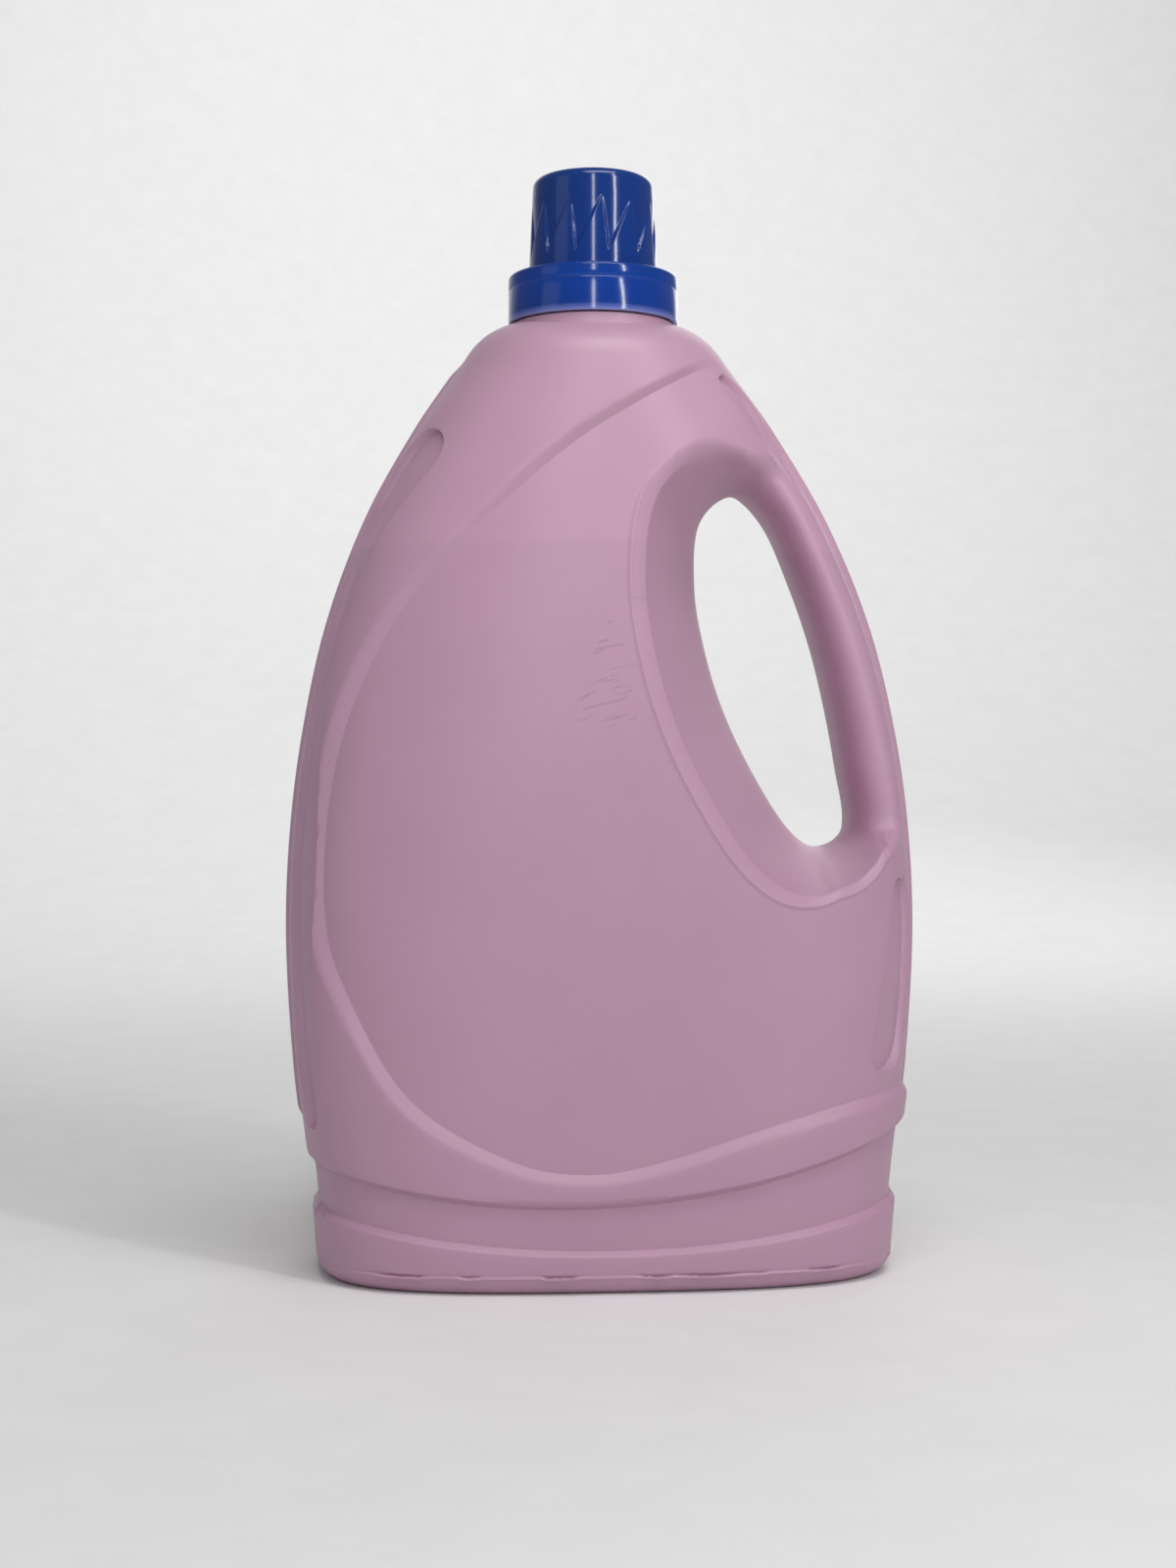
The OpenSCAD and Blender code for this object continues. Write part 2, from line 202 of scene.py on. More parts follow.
seam_apart = 0.3
step_clear = 11

# Spacing of the points on the outer and the inner skin, and room between sunk parts and the inside.
skin_gap = 1.25
inside_gap = 5
inner_room = 0.5


def mix(a, b, t):
    return a + (b - a) * t


def ease(low, high, v):
    t = np.clip((v - low) / (high - low), 0, 1)
    return t * t * (3 - 2 * t)


def soft_min(a, b, width):
    near = np.maximum(width - np.abs(a - b), 0) / width
    return np.minimum(a, b) - near * near * width / 4


def smooth_curve(points, steps, closed=False):
    """Points on a smooth curve through the given ones."""
    p = [np.array(q, dtype=float) for q in points]
    n = len(p)
    out = []
    for i in range(n if closed else n - 1):
        if closed:
            a, b, c, d = p[i - 1], p[i], p[(i + 1) % n], p[(i + 2) % n]
        else:
            a, b, c, d = p[max(i - 1, 0)], p[i], p[i + 1], p[min(i + 2, n - 1)]
        for k in range(steps):
            t = k / steps
            out.append((2 * b + (c - a) * t + (2 * a - 5 * b + 4 * c - d) * t ** 2
                        + (3 * b - a - 3 * c + d) * t ** 3) / 2)
    if not closed:
        out.append(p[-1])
    return np.array(out)


def spaced(curve, gap, closed=False):
    """The same curve with points at even steps, and its normals to the left of its run."""
    line = np.vstack([curve, curve[:1]]) if closed else curve
    run = np.concatenate([[0], np.cumsum(np.hypot(*np.diff(line, axis=0).T))])
    count = max(int(run[-1] / gap), 2)
    at = np.linspace(0, run[-1], count + 1)
    even = np.stack([np.interp(at, run, line[:, 0]), np.interp(at, run, line[:, 1])], axis=1)
    if closed:
        even = even[:-1]
        along = np.roll(even, -1, axis=0) - np.roll(even, 1, axis=0)
    else:
        along = np.gradient(even, axis=0)
    along /= np.hypot(along[:, 0], along[:, 1])[:, None]
    return even, np.stack([-along[:, 1], along[:, 0]], axis=1)


# The body's sections, tabled by run (length up the side) and by share of the way across the front,
# with more rows above the height where the shoulder turns in.
ACROSS = 401
UP = 641
ROUND = 1201
shoulder_z = 262
base_rows, side_rows, shoulder_rows = 40, 800, 500


def form_at(share):
    """Rows of the form at shares of the height, on a smooth curve through the rows above."""
    last = len(FORM) - 1
    slopes = np.array([
        (FORM[min(i + 1, last)] - FORM[max(i - 1, 0)])
        / (FORM[min(i + 1, last)][0] - FORM[max(i - 1, 0)][0]) for i in range(last + 1)
    ])
    share = np.clip(share, 0, 1)
    i = np.clip(np.searchsorted(FORM[:, 0], share, side="right") - 1, 0, last - 1)
    a, b = FORM[i], FORM[i + 1]
    w = (b[:, 0] - a[:, 0])[:, None]
    t = (share[:, None] - a[:, :1]) / w
    u = 1 - t
    return (a * (1 + 2 * t) * u * u + slopes[i] * w * t * u * u
            + b * t * t * (3 - 2 * t) - slopes[i + 1] * w * t * t * u)


def side_sizes(z, turn):
    """Half width, half depth, squareness and middle at heights z, with the base's edge rounded."""
    row = form_at(z / body_h)
    half_wide = mix(shoulder_r, half_w, row[:, 1]) - turn
    half_deep = mix(shoulder_r, half_d, row[:, 2]) - turn
    return half_wide, half_deep, row[:, 3], neck_x * row[:, 4]


def body_table():
    bend = np.linspace(0, math.pi / 2, base_rows)
    z = np.concatenate([base_r * (1 - np.cos(bend)),
                        np.linspace(base_r, shoulder_z, side_rows)[1:],
                        np.linspace(shoulder_z, body_h, shoulder_rows)[1:]])
    turn = np.concatenate([base_r * (1 - np.sin(bend)), np.zeros(len(z) - len(bend))])
    wide, deep, square, middle = side_sizes(z, turn)
    run = np.concatenate([[0], np.cumsum(np.hypot(np.diff(wide), np.diff(z)))])
    at = np.linspace(0, run[-1], UP)
    rows = {"run": at}
    columns = {"z": z, "wide": wide, "deep": deep, "square": square, "middle": middle}
    for name, values in columns.items():
        rows[name] = np.interp(at, run, values)
    turn_angle = np.linspace(math.pi, 2 * math.pi, ROUND)
    cos, sin = np.cos(turn_angle), np.sin(turn_angle)
    share = np.linspace(-1, 1, ACROSS)
    ux, uy, half_run = [], [], []
    for a, b, n in zip(rows["wide"], rows["deep"], rows["square"]):
        r = (np.abs(cos / a) ** n + np.abs(sin / b) ** n) ** (-1 / n)
        x, y = r * cos, r * sin
        along = np.concatenate([[0], np.cumsum(np.hypot(np.diff(x), np.diff(y)))])
        part = along / along[-1] * 2 - 1
        ux.append(np.interp(share, part, x) / a)
        uy.append(-np.interp(share, part, y) / b)
        half_run.append(along[-1] / 2)
    rows["ux"], rows["uy"], rows["half_run"] = np.array(ux), np.array(uy), np.array(half_run)
    rows["uy"][:, 0] = rows["uy"][:, -1] = 0
    return rows


table = body_table()


def row_value(name, run):
    return np.interp(run, table["run"], table[name])


def on_section(share, run):
    """Place on the section's outline, as shares of its half width and half depth."""
    i = np.clip(run / table["run"][-1] * (UP - 1), 0, UP - 1.000001)
    j = np.clip((share + 1) / 2 * (ACROSS - 1), 0, ACROSS - 1.000001)
    i0, j0 = i.astype(int), j.astype(int)
    fi, fj = i - i0, j - j0
    out = []
    for grid in (table["ux"], table["uy"]):
        low = mix(grid[i0, j0], grid[i0, j0 + 1], fj)
        high = mix(grid[i0 + 1, j0], grid[i0 + 1, j0 + 1], fj)
        out.append(mix(low, high, fi))
    return out


def to_flat(points):
    """Front-view points, in x and z, laid on the flattened front, and which of them lie on it."""
    x, z = points[:, 0], points[:, 1]
    run = np.interp(z, table["z"], table["run"])
    low, high = np.full(len(x), -1.0), np.full(len(x), 1.0)
    for _ in range(30):
        half = (low + high) / 2
        here = row_value("middle", run) + row_value("wide", run) * on_section(half, run)[0]
        low = np.where(here < x, half, low)
        high = np.where(here < x, high, half)
    share = (low + high) / 2
    flat = np.stack([share * row_value("half_run", run), run], axis=1)
    inside = (np.abs(share) < 0.9985) & (z > 0.3) & (z < body_h - 0.1)
    return flat, inside


def middle_at(z):
    return neck_x * form_at(z / body_h)[:, 4]


def half_width_at(z):
    return mix(shoulder_r, half_w, form_at(z / body_h)[:, 1])


def opening_curve():
    share = np.array([q[0] for q in OPENING])
    width = np.array([q[1] for q in OPENING])
    z = mix(opening_low, opening_top, share)
    right_x = middle_at(z) + half_width_at(z) + seam_h - grip_w
    left = np.stack([right_x - opening_w * width, z], axis=1)[::-1]
    right = np.stack([right_x, z], axis=1)
    foot = [((left[-1][0] + right[0][0]) / 2, opening_low)]
    head = [((left[0][0] + right[-1][0]) / 2, opening_top)]
    return smooth_curve(np.vstack([left, foot, right, head]), 12, closed=True)


def on_panel():
    edge = smooth_curve([(x * half_w, z * body_h) for x, z in PANEL], 12)
    return edge, np.vstack([edge, [[2 * half_w, edge[-1][1]], [2 * half_w, body_h + 1]]])


def on_leaf(leaf):
    points = np.array(leaf)
    z = points[:, 1] * body_h
    x = middle_at(z) + points[:, 0] * half_width_at(z)
    return smooth_curve(np.stack([x, z], axis=1), 12, closed=True)


def band_edge(x, edge):
    low, rise, shift = edge
    return low + rise * (x / half_w + shift) ** 2


def nearest(points, line, closed=False):
    """Distance from points to a line, and the place on it: its piece and the share along that."""
    a = line
    b = np.roll(line, -1, axis=0)
    if not closed:
        a, b = a[:-1], b[:-1]
    run = b - a
    size = np.maximum((run ** 2).sum(axis=1), 1e-12)
    best, piece, share = [], [], []
    for start in range(0, len(points), 4000):
        part = points[start:start + 4000]
        gap = part[:, None, :] - a[None]
        t = np.clip((gap * run[None]).sum(axis=2) / size[None], 0, 1)
        away = np.hypot(gap[:, :, 0] - t * run[None, :, 0], gap[:, :, 1] - t * run[None, :, 1])
        k = away.argmin(axis=1)
        row = np.arange(len(part))
        best.append(away[row, k])
        piece.append(k)
        share.append(t[row, k])
    return np.concatenate(best), np.concatenate(piece), np.concatenate(share)


def within(points, outline):
    x, z = points[:, 0], points[:, 1]
    inside = np.zeros(len(points), dtype=bool)
    for (x0, z0), (x1, z1) in zip(outline, np.roll(outline, -1, axis=0)):
        crosses = (z0 > z) != (z1 > z)
        at = x0 + (z - z0) * (x1 - x0) / (z1 - z0 if z1 != z0 else 1)
        inside ^= crosses & (x < at)
    return inside


def sunk(distance, step):
    """Share of a recess's depth: full inside its foot, then a sloped wall with a rounded edge."""
    width, rounding = step
    t = np.clip(1 + distance / width, 0, 1)
    slope = np.where(t < rounding, t * t / (2 * rounding), t - rounding / 2)
    return slope / (1 - rounding / 2)


hole = opening_curve()
panel_edge, panel_outline = on_panel()
leaf_outlines = [on_leaf(leaf) for leaf in LEAVES]


def recess(points):
    """Shares of the sunk depth at front-view points: of panel and band, and of the long hollows."""
    x, z = points[:, 0], points[:, 1]
    band = np.minimum(sunk(band_edge(x, BAND_TOP) - z, BAND_TOP_WALL),
                      sunk(z - band_edge(x, BAND_LOW), BAND_LOW_WALL))
    away = nearest(points, panel_edge)[0]
    aside = (x - middle_at(z)) / half_width_at(z)
    fade = 1 - ease(*PANEL_FADE_UP, z / body_h) * ease(*PANEL_FADE_ASIDE, aside)
    panel = fade * sunk(np.where(within(points, panel_outline), away, -away), PANEL_WALL)
    clear = ease(*LEAF_CLEAR, nearest(points, hole, closed=True)[0])
    leaves = np.zeros(len(points))
    for outline in leaf_outlines:
        away = nearest(points, outline, closed=True)[0]
        leaves += clear * sunk(np.where(within(points, outline), away, -away), LEAF_WALL)
    return np.maximum(band, panel), leaves


def opening_wall(points, inset=0):
    """Depth that the finger opening leaves at front-view points, how soft its lip is there, and
    the share of the lip's crisp form beside the panel."""
    even, normals = spaced(hole, 0.8, closed=True)
    away, piece, share = nearest(points, even, closed=True)
    away = np.where(within(points, even), 0, away)
    after, share = (piece + 1) % len(even), share[:, None]
    square_out = -mix(normals[piece], normals[after], share)
    straight_out = points - mix(even[piece], even[after], share)
    straight_out /= np.maximum(away, 0.01)[:, None]
    out = mix(square_out, straight_out, ease(0.3, 2, away)[:, None])
    away = np.maximum(away - inset, 0)
    angle = np.degrees(np.arctan2(out[:, 1], out[:, 0]))
    grip = ease(*GRIP_TURN[:2], angle) - ease(*GRIP_TURN[2:], angle)
    draft = mix(end_draft, side_draft, np.maximum(-np.cos(np.radians(angle)), 0))
    half_grip = grip_d / 2 - inset
    on_body = np.sqrt((away + edge_r) ** 2 - edge_r ** 2) / draft
    round_share = np.minimum(2 * away / grip_w, 1)
    on_grip = (half_grip * (1 - (1 - round_share) ** grip_square) ** (1 / grip_square)
               + np.maximum(away - grip_w / 2, 0) / grip_spread)
    soft = ease(*SOFT_TURN[:2], angle) * (1 - ease(*SOFT_TURN[2:], angle))
    beside = (1 - ease(0, lip_beside_until, grip)) * (1 - soft)
    lip = mix(lip_round, lip_soft, np.maximum(soft, lip_grip_share * grip))
    return mix(on_body, on_grip, grip), lip, beside


def lip_edge(deepness, wall_depth, lip, beside):
    """Depth where the scoop cuts the skin: soft, or a chamfer with a bead beside the panel."""
    over = wall_depth - deepness
    from_bead = (over - (chamfer_drop + bead_up) / chamfer_slope) * side_draft / bead_half
    bead = deepness + bead_up * beside * np.exp(-from_bead * from_bead)
    chamfer = deepness + chamfer_slope * over - chamfer_drop
    crisp = soft_min(soft_min(bead, chamfer, chamfer_round), wall_depth, chamfer_round)
    return mix(soft_min(deepness, wall_depth, lip), crisp, beside)


def noise_along(x, scale, row):
    return np.array([noise.noise(Vector((v * scale, *row))) for v in x])


def flash_height(x, z):
    """The parting line just above the base, with its torn flakes and the groove above them."""
    ragged, torn = noise_along(x, *RAGGED), noise_along(x, *TORN)
    flake = np.clip((ragged - 0.05) * (1 + torn), 0, flake_most)
    up = z - flash_z + flake_h * flake
    ridge = (flash_h + flake_h * flake) * np.exp(-(up / flash_half) ** 2)
    groove = (groove_h + groove_flake_h * flake) * np.exp(-((up - groove_up) / groove_half) ** 2)
    return ridge - groove


def skin_points(flat, inset=0):
    """Places on the front of the skin for points of the flattened front."""
    run = flat[:, 1]
    half_run = row_value("half_run", run)
    share = np.clip(flat[:, 0] / half_run, -1, 1)
    ux, uy = on_section(share, run)
    wide, deep = row_value("wide", run), row_value("deep", run)
    middle, z = row_value("middle", run), row_value("z", run)
    lowered = shoulder_dip * uy * uy * ease(dip_from, 1, z / body_h)
    front_view = np.stack([middle + wide * ux, z - lowered], axis=1)
    if inset:
        drop = np.full(len(run), inset)
        hollow = ridge = 0
    else:
        panel, leaves = recess(front_view)
        hollow = sunk_depth * leaves - flash_height(front_view[:, 0], z)
        drop = sunk_depth * panel + hollow
        to_seam = (1 - np.abs(share)) * half_run
        start = seam_low * body_h
        ends = ease(start - seam_run_out, start + seam_run_out, z)
        ends *= 1 - ease(seam_top * body_h, seam_end * body_h, z)
        ridge = np.sqrt(np.maximum(1 - (to_seam / seam_half) ** 2, 0)) * ends
    from_hole = np.where(within(front_view, hole), 0, nearest(front_view, hole, closed=True)[0])
    on_skin = ease(*SCOOP_BLEND, opening_wall(front_view, inset)[0] - deep * uy)
    aside = (drop - hollow * (1 - on_skin)) * ease(0, shift_clear, from_hole - inset)
    x = middle + (wide - aside) * ux + np.sign(share) * (seam_h + aside) * ridge
    deepness = (deep - drop) * uy
    wall_depth, lip, beside = opening_wall(np.stack([x, z], axis=1), inset)
    y = lip_edge(deepness, wall_depth, lip, 0 if inset else beside)
    y = np.where(np.abs(share) >= 1, 0, np.maximum(y, 0))
    if inset:
        z = mix(inset, body_h - inset, z / body_h)
    return np.stack([x, -y, z - lowered], axis=1)


def lip_line(gap):
    """Where the scoop's wall meets the panel, in front view, and the way out of the scoop."""
    edges, normals = spaced(hole, gap / 4, closed=True)
    reach = np.arange(*LIP_REACH)
    points = (edges[:, None] - normals[:, None] * reach[None, :, None]).reshape(-1, 2)
    flat, inside = to_flat(points)
    share = flat[:, 0] / row_value("half_run", flat[:, 1])
    skin = row_value("deep", flat[:, 1]) * on_section(share, flat[:, 1])[1] - sunk_depth
    wall_depth, _, beside = opening_wall(points)
    over = (wall_depth - skin).reshape(len(edges), -1)
    met = (over >= 0) & (inside & (beside > lip_beside_from)).reshape(len(edges), -1)
    first = met.argmax(axis=1)
    found = met.any(axis=1) & (first > 0)
    start = int(np.flatnonzero(~found)[0])
    row = np.arange(len(edges))
    before, after = over[row, first - 1], over[row, first]
    back = np.clip(after / np.maximum(after - before, 1e-6), 0, 1) * (reach[1] - reach[0])
    line = edges - normals * (reach[first] - back)[:, None]
    line = np.roll(line, -start, axis=0)[np.roll(found, -start)]
    line, out = spaced(line, gap)
    middle = edges.mean(axis=0)
    return line, out * np.sign(((line - middle) * out).sum(axis=1))[:, None]


def keep_apart(groups):
    """Joins groups of points, leaving out each one too near a point of an earlier group."""
    cell = 2
    cells = {}
    kept = []
    for points, gap in groups:
        new = []
        for x, v in points:
            cx, cv = int(x // cell), int(v // cell)
            close = any((x - q[0]) ** 2 + (v - q[1]) ** 2 < gap * gap
                        for i in (cx - 1, cx, cx + 1) for j in (cv - 1, cv, cv + 1)
                        for q in cells.get((i, j), ()))
            if not close:
                new.append((x, v))
        for x, v in new:
            cells.setdefault((int(x // cell), int(v // cell)), []).append((x, v))
        kept += new
    return kept


def border(gap):
    """The flattened front's border, once round."""
    top = table["run"][-1]
    up = np.linspace(0, top, int(top / gap) + 1)
    low_half, top_half = row_value("half_run", np.array([0.0, top]))
    foot = np.linspace(-low_half, low_half, int(2 * low_half / gap) + 1)
    head = np.linspace(-top_half, top_half, int(2 * top_half / gap) + 1)
    half = row_value("half_run", up)
    return np.vstack([
        np.stack([foot, np.zeros(len(foot))], axis=1)[:-1],
        np.stack([half, up], axis=1)[:-1],
        np.stack([head, np.full(len(head), top)], axis=1)[:0:-1],
        np.stack([-half, up], axis=1)[:0:-1],
    ])


def inner_side(edge, outline):
    """Which side of an edge its recess lies on: 1 left of its run, -1 right of it."""
    line, normals = spaced(edge, 5)
    k = len(line) // 2
    return 1 if within(line[k:k + 1] + normals[k:k + 1] * 0.5, outline)[0] else -1


def step_rows():
    """The feet of the steps in front view, the side that each recess lies on, and its rows."""
    steps = [(panel_edge, inner_side(panel_edge, panel_outline), PANEL_ROWS)]
    for outline in leaf_outlines:
        edge = np.vstack([outline, outline[:1]])
        steps.append((edge, inner_side(edge, edge), LEAF_ROWS))
    x = np.linspace(-half_w, half_w, 200)
    steps.append((np.stack([x, band_edge(x, BAND_TOP)], axis=1), -1, BAND_TOP_ROWS))
    steps.append((np.stack([x, band_edge(x, BAND_LOW)], axis=1)[::-1], -1, BAND_LOW_ROWS))
    return steps


def detail_rows(gap):
    """Rows of points along the steps, the seam and the opening, so that the mesh follows them."""
    groups = []

    def lay(points, apart):
        flat, inside = to_flat(points)
        groups.append((flat[inside & ~within(points, hole)], apart))

    line, out = lip_line(gap)
    for away in LIP_ROWS:
        lay(line + out * away, fine_apart)
    edges, normals = spaced(hole, gap, closed=True)
    for away in OPENING_ROWS:
        lay(edges - normals * away, 0.25 * gap if away < 1 else 0.6 * gap)
    top = table["run"][-1]
    up = np.linspace(0, top, int(top / gap))
    half = row_value("half_run", up)
    for away in SEAM_ROWS:
        for side in (-1, 1):
            groups.append((np.stack([side * (half - away), up], axis=1)[1:-1], seam_apart))
    for edge, side, aways in step_rows():
        line, normals = spaced(edge, 0.8 * gap)
        for away in aways:
            row = line + normals * away * side
            row = row[nearest(row, hole, closed=True)[0] > step_clear]
            lay(row, 0.5 * gap if abs(away) > 1 else 0.1)
    x = np.linspace(-half_w, half_w, int(2 * half_w / gap))
    for away in FLASH_ROWS:
        lay(np.stack([x, np.full(len(x), flash_z + away)], axis=1), fine_apart)
    return groups


def skin_half(gap, detail, inset=0):
    """Vertices and faces of the front half of the skin."""
    line, normals = spaced(hole, gap if detail else 0.6 * gap, closed=True)
    rim = to_flat(line - normals * inset)[0]
    edge = border(gap)
    fixed = [tuple(q) for q in np.vstack([edge, rim])]
    top = table["run"][-1]
    step = gap * 1.3 if detail else gap
    grid = []
    for k, v in enumerate(np.arange(step / 2, top, step * 0.87)):
        half = float(row_value("half_run", v))
        across = np.arange(-half, half, step) + (k % 2) * step / 2
        grid += [(x, v) for x in across if abs(x) < half - 0.4 * step]
    groups = [(fixed, 0)]
    if detail:
        groups += detail_rows(gap)
    groups.append((grid, 0.72 * step))
    points = np.array(keep_apart(groups))
    clear = ~within(points, rim)
    clear[:len(fixed)] = True
    points = points[clear]
    n, m = len(edge), len(rim)
    lines = [(k, (k + 1) % n) for k in range(n)]
    lines += [(n + k, n + (k + 1) % m) for k in range(m)]
    flat = [Vector(q) for q in points]
    verts, _, faces, _, _, _ = geometry.delaunay_2d_cdt(flat, lines, [], 1, 1e-5)
    verts = np.array([tuple(v) for v in verts])
    in_rim = within(verts, rim) | (nearest(verts, rim, closed=True)[0] < 1e-4)
    faces = [f for f in faces if not all(in_rim[k] for k in f)]
    places = skin_points(verts, inset)
    places[in_rim, 1] = 0
    return places, faces


def new_object(name, verts, edges, faces):
    mesh = bpy.data.meshes.new(name)
    mesh.from_pydata([tuple(v) for v in verts], edges, faces)
    obj = bpy.data.objects.new(name, mesh)
    bpy.context.scene.collection.objects.link(obj)
    only(obj)
    return obj


def only(*objs):
    """Selects these objects alone, the first of them active."""
    bpy.ops.object.select_all(action="DESELECT")
    for obj in objs:
        obj.select_set(True)
    bpy.context.view_layer.objects.active = objs[0]


def edit(mode="VERT"):
    bpy.ops.object.mode_set(mode="EDIT")
    bpy.ops.mesh.select_mode(type=mode)


def done():
    bpy.ops.object.mode_set(mode="OBJECT")


def join(*objs):
    only(*objs)
    bpy.ops.object.join()
    return objs[0]


def tidy_normals(obj):
    only(obj)
    edit()
    bpy.ops.mesh.select_all(action="SELECT")
    bpy.ops.mesh.remove_doubles(threshold=0.01 * MM)
    bpy.ops.mesh.normals_make_consistent(inside=False)
    done()


def smooth(obj, angle=40):
    only(obj)
    bpy.ops.object.shade_smooth_by_angle(angle=math.radians(angle))


def mirrored(obj):
    """Mirrors the front half to the back."""
    only(obj)
    bpy.ops.object.modifier_add(type="MIRROR")
    mirror = obj.modifiers[-1]
    mirror.use_axis = (False, True, False)
    mirror.merge_threshold = 0.004 * MM
    bpy.ops.object.modifier_apply(modifier=mirror.name)


def pick_level(obj, z, tolerance=0.002):
    """Selects the open ring at a height, in edit mode."""
    done()
    mesh = obj.data
    for poly in mesh.polygons:
        poly.select = False
    for edge in mesh.edges:
        edge.select = False
    heights = np.empty(len(mesh.vertices) * 3)
    mesh.vertices.foreach_get("co", heights)
    at = np.abs(heights[2::3] / MM - z) < tolerance
    mesh.vertices.foreach_set("select", at)
    edit()


def pick_open(obj):
    """Selects the open edges, in edit mode."""
    only(obj)
    edit()
    bpy.ops.mesh.select_all(action="DESELECT")
    bpy.ops.mesh.select_non_manifold(
        extend=False, use_wire=False, use_boundary=True, use_multi_face=False,
        use_non_contiguous=False, use_verts=False)


def draw_rings(middle, start, rings, level=1):
    """Extrudes the picked ring through rings of half width, half depth and height; level 0 makes
    them flat."""
    wide, deep, z = start
    for next_wide, next_deep, next_z in rings:
        up = (0, 0, (next_z - z) * MM)
        bpy.ops.mesh.extrude_edges_move(TRANSFORM_OT_translate={"value": up})
        bpy.ops.transform.resize(value=(next_wide / wide, next_deep / deep, level),
                                 center_override=(middle * MM, 0, next_z * MM))
        wide, deep, z = next_wide, next_deep, next_z


# Rings of the base inside the one that it stands on: how far in and how far up they lie.
BASE_RINGS = [(0, 0), (0.5, 0.15), (1.1, 0.8), (1.8, 2.2), (2.6, 2.8), (3.8, push_up)]


def base_rings(obj, inset):
    """The ring that the jug stands on and the pushed-up middle of the base."""
    wide, deep, _, _ = side_sizes(np.array([0.0]), base_r + inset)
    wide, deep = float(wide[0]), float(deep[0])
    pick_level(obj, inset)
    rings = [(wide - stand_w - away, deep - stand_w - away, inset + up) for away, up in BASE_RINGS]
    draw_rings(0, (wide, deep, inset), rings)
    bpy.ops.mesh.edge_face_add()
    done()


# The threads: steps in a turn, rise in a turn, share of the length that runs out at each end, half
# widths of the ridge at its root and its crest, and how far the root is let into the wall.
thread_steps = 72
thread_pitch = 3.6
thread_run_out = 1 / 6
thread_root = 1.1
thread_crest = 0.35
thread_let_in = 0.3


def thread(name, radius, height, turns, low_z, inward=False):
    """A helical thread ridge with run-out ends."""
    steps = int(turns * thread_steps)
    out = -1 if inward else 1
    verts, faces = [], []
    for k in range(steps + 1):
        angle = 2 * math.pi * turns * k / steps
        fade = min(1, k / steps / thread_run_out, (steps - k) / steps / thread_run_out)
        rise = low_z + thread_pitch * turns * k / steps
        crest = radius + out * height * fade
        root = radius - out * thread_let_in
        for r, up in ((root, -thread_root), (crest, -thread_crest),
                      (crest, thread_crest), (root, thread_root)):
            x, y = neck_x + r * math.cos(angle), r * math.sin(angle)
            verts.append((x * MM, y * MM, (rise + up) * MM))
    for k in range(steps):
        for j in range(4):
            a, b = 4 * k + j, 4 * k + (j + 1) % 4
            faces.append((a, b, b + 4, a + 4))
    faces += [(3, 2, 1, 0), tuple(4 * steps + j for j in range(4))]
    obj = new_object(name, verts, [], faces)
    tidy_normals(obj)
    return obj


# Radius and height of the neck's rings: its rounded foot, then its bead, side, rim and bore.
NECK_FOOT = [(bead_r + 0.4, body_h), (bead_r + 0.1, body_h + 0.1), (bead_r, body_h + 0.3)]
NECK = [
    (bead_r, body_h + 0.5), (bead_r - 0.2, body_h + 0.7), (bead_r - 0.7, body_h + bead_h),
    (neck_r + 0.3, body_h + bead_h), (neck_r, body_h + bead_h + 0.3), (neck_r, rim_z - 0.4),
    (neck_r - 0.12, rim_z - 0.12), (neck_r - 0.4, rim_z), (bore_r + 0.3, rim_z),
    (bore_r, rim_z - 0.3), (bore_r, body_h - shoulder_dip - 1),
]
neck_thread_h, neck_turns, neck_thread_up = 1.0, 1.6, 3.2


def make_bottle():
    """The blown bottle: a skin drawn from its sections, mirrored, with base, neck and inside."""
    verts, faces = skin_half(skin_gap, True)
    bottle = new_object("bottle_skin", verts * MM, [], faces)
    mirrored(bottle)
    base_rings(bottle, 0)
    pick_open(bottle)
    foot = [(r, r, z) for r, z in NECK_FOOT]
    draw_rings(neck_x, (shoulder_r, shoulder_r, body_h), foot)
    draw_rings(neck_x, foot[-1], [(r, r, z) for r, z in NECK], level=0)
    done()
    inner_gap = wall + sunk_depth + inner_room
    verts, faces = skin_half(inside_gap, False, inner_gap)
    inside = new_object("bottle_inside", verts * MM, [], faces)
    mirrored(inside)
    base_rings(inside, inner_gap)
    only(inside)
    edit()
    bpy.ops.mesh.select_all(action="SELECT")
    bpy.ops.mesh.flip_normals()
    done()
    bottle = join(bottle, inside)
    pick_open(bottle)
    bpy.ops.mesh.bridge_edge_loops()
    done()
    tidy_normals(bottle)
    ridge = thread("neck_thread", neck_r, neck_thread_h, neck_turns, body_h + neck_thread_up)
    bottle = join(bottle, ridge)
    smooth(bottle, 35)
    bottle.name = "bottle_skin"
    return bottle


def turned(name, profile, steps):
    """A piece turned about the neck's axis from its profile of radius and height."""
    verts = [((neck_x + r) * MM, 0, z * MM) for r, z in profile]
    obj = new_object(name, verts, [(k, k + 1) for k in range(len(profile) - 1)], [])
    edit()
    bpy.ops.mesh.select_all(action="SELECT")
    bpy.ops.mesh.spin(steps=steps, angle=2 * math.pi, center=(neck_x * MM, 0, 0), axis=(0, 0, 1))
    done()
    tidy_normals(obj)
    return obj


def arc(r, z, radius, start, end, steps):
    """Points on a rounded edge of a profile, between two directions in degrees."""
    angles = [math.radians(mix(start, end, k / steps)) for k in range(steps + 1)]
    return [(r + radius * math.cos(a), z + radius * math.sin(a)) for a in angles]


